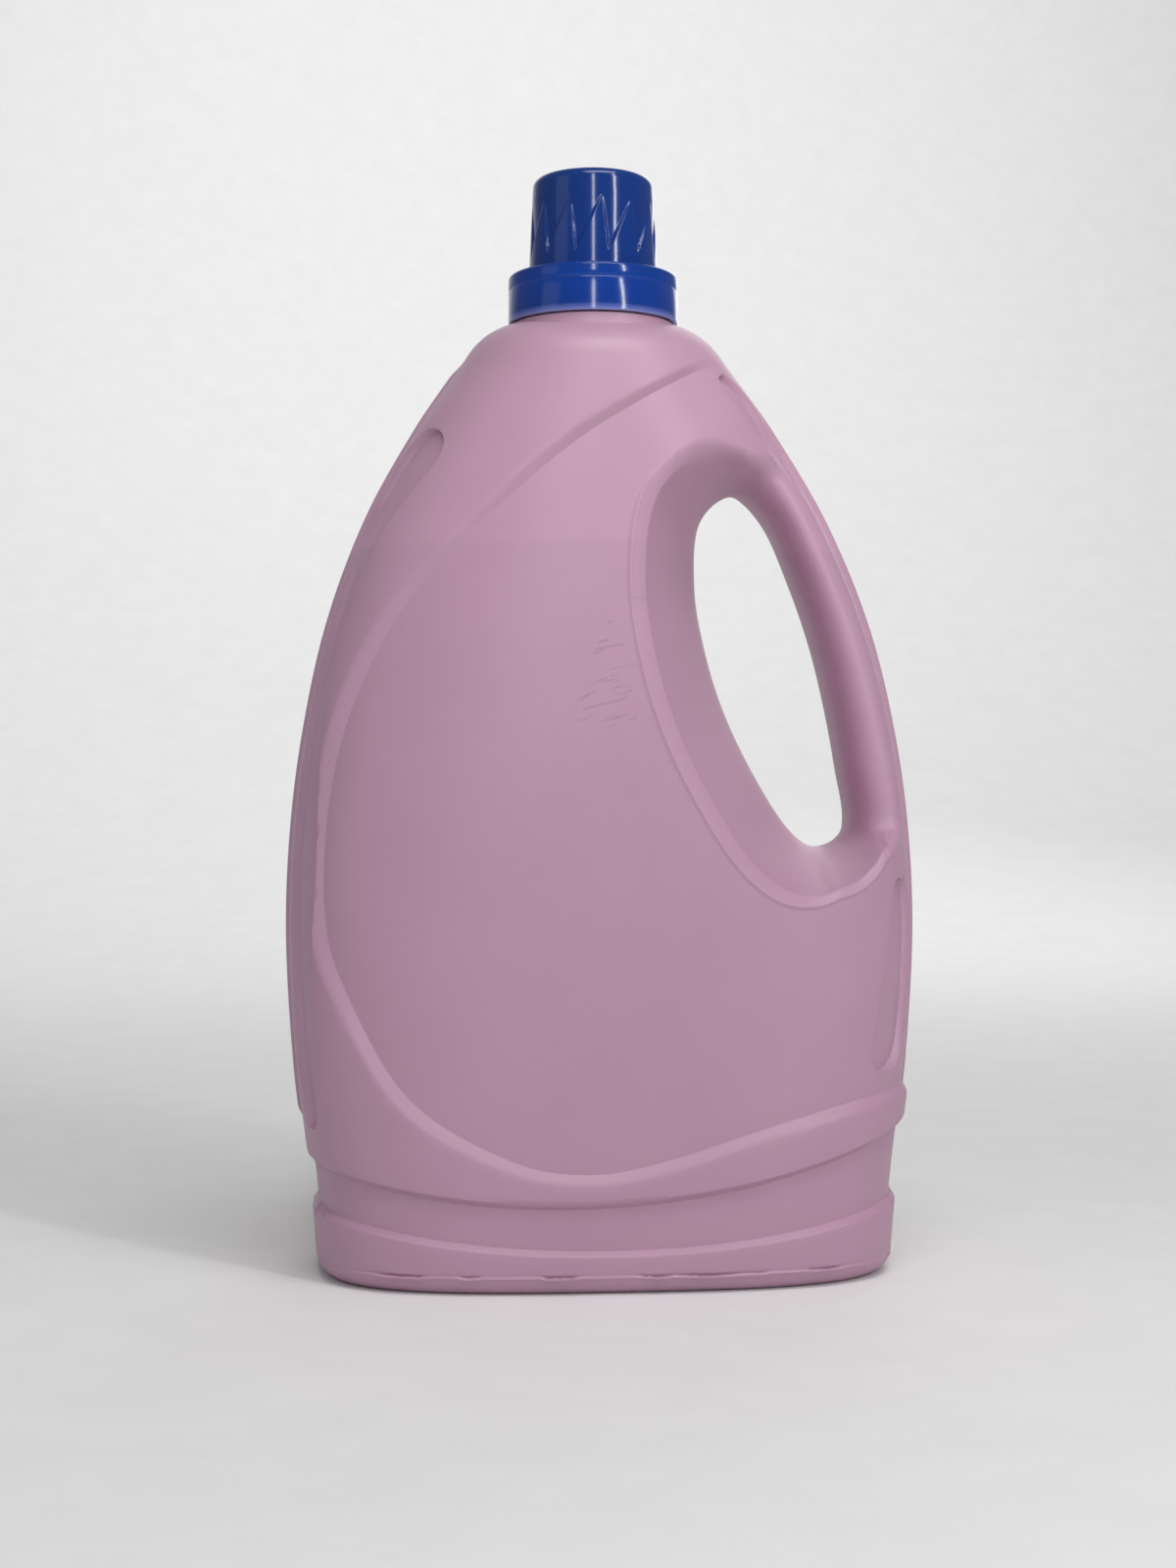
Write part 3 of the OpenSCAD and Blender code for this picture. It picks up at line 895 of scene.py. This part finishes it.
# The dosing cap: its wall, the cup with its rounded top, and the V-shaped notches round the cup.
cap_wall = 1.6
cap_steps = 480
cup_r = 19
cup_taper = 1.2
cup_edge = 3
notch_count = 12
notch_left = 0.26
notch_right = 1.1
notch_turn = 0.29
notch_depth = 0.8
notch_press = 1.3
notch_low = 4
notch_h = 18
NOTCH_LEFT_EDGE = (-0.1, 0.8)
NOTCH_RIGHT_EDGE = (-0.05, 0.45)

# The cap's deck above the spout's flange, its fillet and edge, and the line round the skirt.
flange_h = 1.2
deck_gap = 0.3
deck_top = rim_z + flange_h + deck_gap + cap_wall
deck_fillet = 0.8
deck_edge = 1.2
line_drop, line_half, line_depth = 4.4, 0.35, 0.18
cup_row = 0.36
skirt_edge = 0.4
skirt_inner_edge = 0.3
cup_inner_edge = 2
cap_thread_h, cap_turns, cap_thread_up = 0.65, 1.5, 3.6


def cup_radius(z):
    return cup_r - cup_taper * np.clip((z - deck_top) / (cap_top - cup_edge - deck_top), 0, 1)


def cap_profile():
    """Half section of the cap, outside from the axis down and inside back up."""
    outside = [(0, cap_top), (4, cap_top), (9, cap_top)]
    outside += arc(cup_r - cup_taper - cup_edge, cap_top - cup_edge, cup_edge, 90, 0, 9)
    for z in np.arange(cap_top - cup_edge - 0.4, deck_top + 1.2, -cup_row):
        outside.append((float(cup_radius(z)), float(z)))
    outside += arc(cup_r + deck_fillet, deck_top + deck_fillet, deck_fillet, 180, 270, 4)
    outside += arc(skirt_r - deck_edge, deck_top - deck_edge, deck_edge, 90, 0, 6)
    line_z = deck_top - line_drop
    outside += [(skirt_r, line_z + line_half), (skirt_r - line_depth, line_z),
                (skirt_r, line_z - line_half)]
    outside += [(skirt_r, skirt_low + 1.5), (skirt_r, skirt_low + 0.5)]
    outside += arc(skirt_r - skirt_edge, skirt_low + skirt_edge, skirt_edge, 0, -90, 4)
    inner, ceiling = skirt_r - cap_wall, deck_top - cap_wall
    edge = skirt_inner_edge
    inside = arc(inner + edge, skirt_low + edge, edge, 270, 180, 3)
    inside += [(inner, ceiling - 0.5), (inner - 0.5, ceiling)]
    hollow = cup_r - cap_wall - notch_depth / 2
    inside += [(hollow + 0.4, ceiling), (hollow, ceiling + 0.4)]
    edge, hollow_top = cup_inner_edge, hollow - cup_taper + 0.1
    inside += [(hollow_top, cap_top - cap_wall - edge)]
    inside += arc(hollow_top - edge, cap_top - cap_wall - edge, edge, 0, 90, 5)
    return outside + inside + [(0, cap_top - cap_wall)]


def cut_notches(obj):
    """Presses the V-shaped grip notches into the side of the cup."""
    mesh = obj.data
    co = np.empty(len(mesh.vertices) * 3)
    mesh.vertices.foreach_get("co", co)
    co = co.reshape(-1, 3) / MM
    x, y, z = co[:, 0] - neck_x, co[:, 1], co[:, 2]
    r = np.hypot(x, y)
    tip, top = deck_top + notch_low, cap_top - cup_edge
    on_cup = (np.abs(r - cup_radius(z)) < 0.05) & (z > deck_top + 1) & (z < cap_top - 0.5)
    width = 2 * math.pi * cup_r / notch_count
    to_left, to_right = notch_left * width, notch_right * width
    turn = np.degrees(np.arctan2(y, x)) + 90
    spacing = (turn / 360 * notch_count - notch_turn + 0.5) % 1 - 0.5
    rise = top - tip
    share = np.zeros(len(z))
    for shift in (-1, 0, 1):
        across = (spacing + shift) * width
        left = (across * rise + (z - tip) * to_left) / math.hypot(to_left, rise)
        right = ((z - tip) * to_right - across * rise) / math.hypot(to_right, rise)
        notch = ease(*NOTCH_LEFT_EDGE, left) * ease(*NOTCH_RIGHT_EDGE, right)
        share = np.maximum(share, notch)
    depth = notch_press * notch_depth * np.maximum(1 - (z - tip) / notch_h, 0)
    facet = cup_radius(z) - depth
    new_r = np.where(on_cup, mix(r, np.minimum(r, facet), share), r)
    co[:, 0] = neck_x + x * new_r / np.maximum(r, 1e-6)
    co[:, 1] = y * new_r / np.maximum(r, 1e-6)
    mesh.vertices.foreach_set("co", (co * MM).reshape(-1))
    mesh.update()


def make_cap():
    """The dosing cap, turned from its profile, with its notches and its inner thread."""
    cap = turned("dosing_cap_skin", cap_profile(), cap_steps)
    cut_notches(cap)
    ridge = thread("cap_thread", skirt_r - cap_wall, cap_thread_h, cap_turns,
                   body_h + cap_thread_up, inward=True)
    cap = join(cap, ridge)
    smooth(cap, 32)
    cap.name = "dosing_cap_skin"
    return cap


def make_spout():
    """The pouring fitment, with its moulded edges broken."""
    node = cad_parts["pour_spout"]
    spout = node.copy()
    spout.data = node.data.copy()
    spout.parent = None
    spout.name = "pour_spout_skin"
    bpy.context.scene.collection.objects.link(spout)
    tidy_normals(spout)
    edit()
    bpy.ops.mesh.select_all(action="SELECT")
    bpy.ops.mesh.dissolve_limited(angle_limit=math.radians(1))
    done()
    bpy.ops.object.modifier_add(type="BEVEL")
    bevel = spout.modifiers[-1]
    bevel.width = 0.25 * MM
    bevel.segments = 2
    bevel.limit_method = "ANGLE"
    bevel.angle_limit = math.radians(40)
    bpy.ops.object.modifier_apply(modifier=bevel.name)
    smooth(spout, 35)
    return spout


def node_at(tree, kind, **values):
    new = tree.nodes.new(kind)
    for name, value in values.items():
        if name in new.inputs:
            new.inputs[name].default_value = value
        else:
            setattr(new, name, value)
    return new


def maths(tree, operation, a, b=None, c=None):
    new = tree.nodes.new("ShaderNodeMath")
    new.operation = operation
    for socket, value in zip(new.inputs, (a, b, c)):
        if value is None:
            continue
        if isinstance(value, (int, float)):
            socket.default_value = value
        else:
            tree.links.new(value, socket)
    return new.outputs[0]


def ramp(tree, value, stops):
    new = tree.nodes.new("ShaderNodeValToRGB")
    tree.links.new(value, new.inputs["Fac"])
    elements = new.color_ramp.elements
    while len(elements) < len(stops):
        elements.new(0.5)
    for element, (place, colour) in zip(elements, stops):
        element.position = place
        element.color = (*colour, 1)
    return new.outputs["Color"]


def new_material(name, **sockets):
    material = bpy.data.materials.new(name)
    material.use_nodes = True
    tree = material.node_tree
    shader = tree.nodes["Principled BSDF"]
    for socket, value in sockets.items():
        shader.inputs[socket].default_value = value
    return material, tree, shader


def fine_grain():
    """Group: fine surface grain of moulded plastic, as a height and a soft mottle."""
    tree = bpy.data.node_groups.new("Moulded grain", "ShaderNodeTree")
    tree.interface.new_socket("Scale", in_out="INPUT", socket_type="NodeSocketFloat")
    tree.interface.new_socket("Height", in_out="OUTPUT", socket_type="NodeSocketFloat")
    tree.interface.new_socket("Mottle", in_out="OUTPUT", socket_type="NodeSocketFloat")
    start = tree.nodes.new("NodeGroupInput")
    end = tree.nodes.new("NodeGroupOutput")
    place = tree.nodes.new("ShaderNodeTexCoord")
    fine = node_at(tree, "ShaderNodeTexNoise", Detail=2.0, Roughness=0.5)
    soft = node_at(tree, "ShaderNodeTexNoise", Scale=38.0, Detail=3.0, Roughness=0.55)
    for texture in (fine, soft):
        tree.links.new(place.outputs["Object"], texture.inputs["Vector"])
    tree.links.new(start.outputs["Scale"], fine.inputs["Scale"])
    tree.links.new(fine.outputs["Fac"], end.inputs["Height"])
    tree.links.new(soft.outputs["Fac"], end.inputs["Mottle"])
    return tree


grain = fine_grain()


def add_grain(tree, scale):
    new = tree.nodes.new("ShaderNodeGroup")
    new.node_tree = grain
    new.inputs["Scale"].default_value = scale
    return new


def bump(tree, shader, height, strength, distance):
    new = node_at(tree, "ShaderNodeBump", Strength=strength, Distance=distance)
    tree.links.new(height, new.inputs["Height"])
    tree.links.new(new.outputs["Normal"], shader.inputs["Normal"])


def object_place(tree):
    """The place on the piece, whole and as its separate axes."""
    place = tree.nodes.new("ShaderNodeTexCoord").outputs["Object"]
    axes = tree.nodes.new("ShaderNodeSeparateXYZ")
    tree.links.new(place, axes.inputs["Vector"])
    return place, axes.outputs


def tint(tree, shader, tone, shade):
    """Gives the shader a tone made lighter or darker by a shade."""
    tinted = node_at(tree, "ShaderNodeVectorMath", operation="SCALE")
    tree.links.new(tone, tinted.inputs[0])
    tree.links.new(shade, tinted.inputs["Scale"])
    tree.links.new(tinted.outputs[0], shader.inputs["Base Color"])


# Scuffed patches on the front panel: middle and half size in millimetres, and slope of the strokes.
SCUFFS = [((3, 190), (7, 6), -3), ((1, 178), (9, 7), 8), ((-3, 163), (9, 8), 20)]
SCUFF_STRETCH = (125, 125, 1300)
scuff_sharp = 18
scuff_from = 0.66
scuff_dark = 0.18
scuff_deep = 1.5


def scuff_marks(tree, place, axes):
    """Short hairline scratches on the front panel beside the handle."""
    front = maths(tree, "LESS_THAN", axes["Y"], 0.0)
    marks = None
    for (x, z), (wide, tall), slope in SCUFFS:
        turn = node_at(tree, "ShaderNodeMapping", Rotation=(0, math.radians(slope), 0))
        stretch = node_at(tree, "ShaderNodeMapping", Scale=SCUFF_STRETCH)
        streaks = node_at(tree, "ShaderNodeTexNoise", Scale=1.0, Detail=0.0, Distortion=1.0)
        tree.links.new(place, turn.inputs["Vector"])
        tree.links.new(turn.outputs["Vector"], stretch.inputs["Vector"])
        tree.links.new(stretch.outputs["Vector"], streaks.inputs["Vector"])
        line = maths(tree, "MULTIPLY", streaks.outputs["Fac"], scuff_sharp)
        line = maths(tree, "SUBTRACT", line, scuff_sharp * scuff_from)
        line.node.use_clamp = True
        dx = maths(tree, "DIVIDE", maths(tree, "SUBTRACT", axes["X"], x * MM), wide * MM)
        dz = maths(tree, "DIVIDE", maths(tree, "SUBTRACT", axes["Z"], z * MM), tall * MM)
        far = maths(tree, "ADD", maths(tree, "MULTIPLY", dx, dx), maths(tree, "MULTIPLY", dz, dz))
        patch = maths(tree, "MULTIPLY", line, maths(tree, "LESS_THAN", far, 1.0))
        marks = patch if marks is None else maths(tree, "MAXIMUM", marks, patch)
    return maths(tree, "MULTIPLY", marks, front)


# Tones of the bottle by share of its height; they step where the liquid ends.
PINK = [
    (0.0, (0.43, 0.25, 0.35)), (0.5, (0.45, 0.263, 0.37)), (0.754, (0.47, 0.275, 0.385)),
    (0.764, (0.5, 0.291, 0.407)), (1.0, (0.5, 0.296, 0.407)),
]


def pink_plastic():
    """Dusty pink blown plastic, paler above the liquid, with scuffs beside the handle."""
    material, tree, shader = new_material("Pink blown plastic", Roughness=0.42, IOR=1.5)
    place, axes = object_place(tree)
    tone = ramp(tree, maths(tree, "DIVIDE", axes["Z"], body_h * MM), PINK)
    surface = add_grain(tree, 900.0)
    blotch = maths(tree, "MULTIPLY_ADD", surface.outputs["Mottle"], 0.10, 0.95)
    marks = scuff_marks(tree, place, axes)
    darker = maths(tree, "MULTIPLY_ADD", marks, -scuff_dark, 1)
    tint(tree, shader, tone, maths(tree, "MULTIPLY", blotch, darker))
    height = maths(tree, "MULTIPLY_ADD", marks, -scuff_deep, surface.outputs["Height"])
    bump(tree, shader, height, 0.06, 0.0004)
    return material


# Tones of the cap by share of its height: the skirt's lip, made paler as painted light where the
# bottle's bounce light shows through the thin edge, then its sides, the deck and the cup.
deck_share = (deck_top - skirt_low) / (cap_top - skirt_low)
CAP_BLUE_AND_PAINTED_LIP_LIGHT = [
    (0.0, (0.3, 0.33, 0.62)), (0.012, (0.12, 0.16, 0.46)), (0.05, (0.002, 0.036, 0.25)),
    (deck_share * 0.66, (0.002, 0.036, 0.26)), (deck_share * 0.72, (0.002, 0.047, 0.32)),
    (deck_share, (0.003, 0.034, 0.22)), (1.0, (0.004, 0.032, 0.18)),
]


def blue_plastic():
    """Glossy blue cap plastic, with painted light at the skirt's lip: a paler band for the bottle's
    bounce light shining through the thin edge.
    """
    material, tree, shader = new_material("Blue cap plastic", Roughness=0.13, IOR=1.45)
    _, axes = object_place(tree)
    height = maths(tree, "SUBTRACT", axes["Z"], skirt_low * MM)
    # The lowest stops of this ramp paint light onto the skirt's lip.
    tone = ramp(tree, maths(tree, "DIVIDE", height, (cap_top - skirt_low) * MM), CAP_BLUE_AND_PAINTED_LIP_LIGHT)
    surface = add_grain(tree, 260.0)
    tint(tree, shader, tone, maths(tree, "MULTIPLY_ADD", surface.outputs["Mottle"], 0.3, 0.85))
    bump(tree, shader, surface.outputs["Height"], 0.03, 0.0003)
    return material


# Darkest and palest tone of the spout and of the studio paper, by the mottle of their grain.
MILKY = [(0.3, (0.66, 0.66, 0.63)), (0.7, (0.74, 0.74, 0.71))]
PAPER = [(0.2, (0.78, 0.78, 0.78)), (0.8, (0.82, 0.82, 0.82))]


def natural_plastic():
    """Milky natural plastic of the pouring fitment."""
    material, tree, shader = new_material("Natural white plastic", Roughness=0.4, IOR=1.5)
    surface = add_grain(tree, 500.0)
    tone = ramp(tree, surface.outputs["Mottle"], MILKY)
    tree.links.new(tone, shader.inputs["Base Color"])
    bump(tree, shader, surface.outputs["Height"], 0.05, 0.0003)
    return material


def wear(obj, material):
    obj.data.materials.clear()
    obj.data.materials.append(material)


bottle = make_bottle()
cap = make_cap()
spout = make_spout()
for piece, finish, node_name, body in (
    (bottle, pink_plastic(), "bottle", "jug"),
    (cap, blue_plastic(), "dosing_cap", "cap"),
    (spout, natural_plastic(), "pour_spout", "jug"),
):
    wear(piece, finish)
    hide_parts(node_name)
    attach(piece, body)


# The studio, in metres: the floor's width, the backdrop's height and the curve between them.
floor_w = 5
backdrop_h = 4
backdrop_bend = 1.5


def make_stage():
    """A pale floor that curves up behind the jug."""
    bpy.ops.object.select_all(action="DESELECT")
    bpy.ops.mesh.primitive_plane_add(size=floor_w, location=(0, 0, 0))
    floor = bpy.context.object
    floor.name = "studio_floor"
    edit("EDGE")
    bpy.ops.mesh.select_all(action="DESELECT")
    done()
    for edge in floor.data.edges:
        edge.select = all(floor.data.vertices[k].co.y > 1 for k in edge.vertices)
    edit("EDGE")
    bpy.ops.mesh.extrude_edges_move(TRANSFORM_OT_translate={"value": (0, 0, backdrop_h)})
    done()
    bpy.ops.object.modifier_add(type="BEVEL")
    bend = floor.modifiers[-1]
    bend.width = backdrop_bend
    bend.segments = 24
    bpy.ops.object.modifier_apply(modifier=bend.name)
    bpy.ops.object.shade_smooth()
    material, tree, shader = new_material("Pale studio paper", Roughness=0.9)
    surface = add_grain(tree, 60.0)
    tone = ramp(tree, surface.outputs["Mottle"], PAPER)
    tree.links.new(tone, shader.inputs["Base Color"])
    wear(floor, material)


def softbox(name, place, aim, size, power):
    bpy.ops.object.light_add(type="AREA", location=place)
    lamp = bpy.context.object
    lamp.name = name
    lamp.data.shape = "RECTANGLE"
    lamp.data.size, lamp.data.size_y = size
    lamp.data.energy = power
    lamp.rotation_euler = (Vector(aim) - Vector(place)).to_track_quat("-Z", "Y").to_euler()


# Lamps in metres and watts: name, place, aim, size and power.
JUG_MIDDLE = (0, 0, 0.16)
LAMPS = [
    ("front strip", (-0.1, -1.3, 0.7), JUG_MIDDLE, (0.07, 0.9), 3.4),
    ("right strip", (0.78, -1.05, 0.7), JUG_MIDDLE, (0.07, 0.9), 5.3),
    ("left softbox", (-1.2, -0.55, 0.6), JUG_MIDDLE, (0.6, 0.9), 0.8),
    ("top softbox", (0.15, -0.55, 1.3), JUG_MIDDLE, (0.9, 0.5), 7.8),
    ("backdrop softbox", (0, 0.9, 1.6), (0, 2.5, 0.9), (2.4, 0.5), 24),
    ("back softbox", (0.5, 1.2, 0.8), JUG_MIDDLE, (0.6, 0.9), 2),
]

# Strength of the world as light, and as the pale backdrop that the camera sees.
world_light = 0.22
world_seen = 0.8


def make_light():
    for lamp in LAMPS:
        softbox(*lamp)
    world = bpy.data.worlds.new("Soft studio")
    world.use_nodes = True
    tree = world.node_tree
    background = tree.nodes["Background"]
    background.inputs["Color"].default_value = (1, 1, 1, 1)
    seen = tree.nodes.new("ShaderNodeLightPath").outputs["Is Camera Ray"]
    strength = maths(tree, "MULTIPLY_ADD", seen, world_seen - world_light, world_light)
    tree.links.new(strength, background.inputs["Strength"])
    bpy.context.scene.world = world


# The photograph's viewpoint in millimetres: level, a little to the left of the front.
camera_far = 710
camera_up = 141.5
camera_left = math.radians(5)
camera_aside = 4.35
focal_px = 2448
image_high_px = 1600


def make_camera():
    data = bpy.data.cameras.new("Camera")
    data.sensor_width = 36
    data.lens = focal_px * data.sensor_width / image_high_px
    data.clip_end = 50
    camera = bpy.data.objects.new("Camera", data)
    sin, cos = math.sin(camera_left), math.cos(camera_left)
    camera.location = ((-camera_far * sin - camera_aside * cos) * MM,
                       (-camera_far * cos + camera_aside * sin) * MM, camera_up * MM)
    camera.rotation_euler = (math.pi / 2, 0, -camera_left)
    bpy.context.scene.collection.objects.link(camera)
    bpy.context.scene.camera = camera


make_stage()
make_light()
make_camera()
bpy.context.scene.view_settings.view_transform = "Standard"
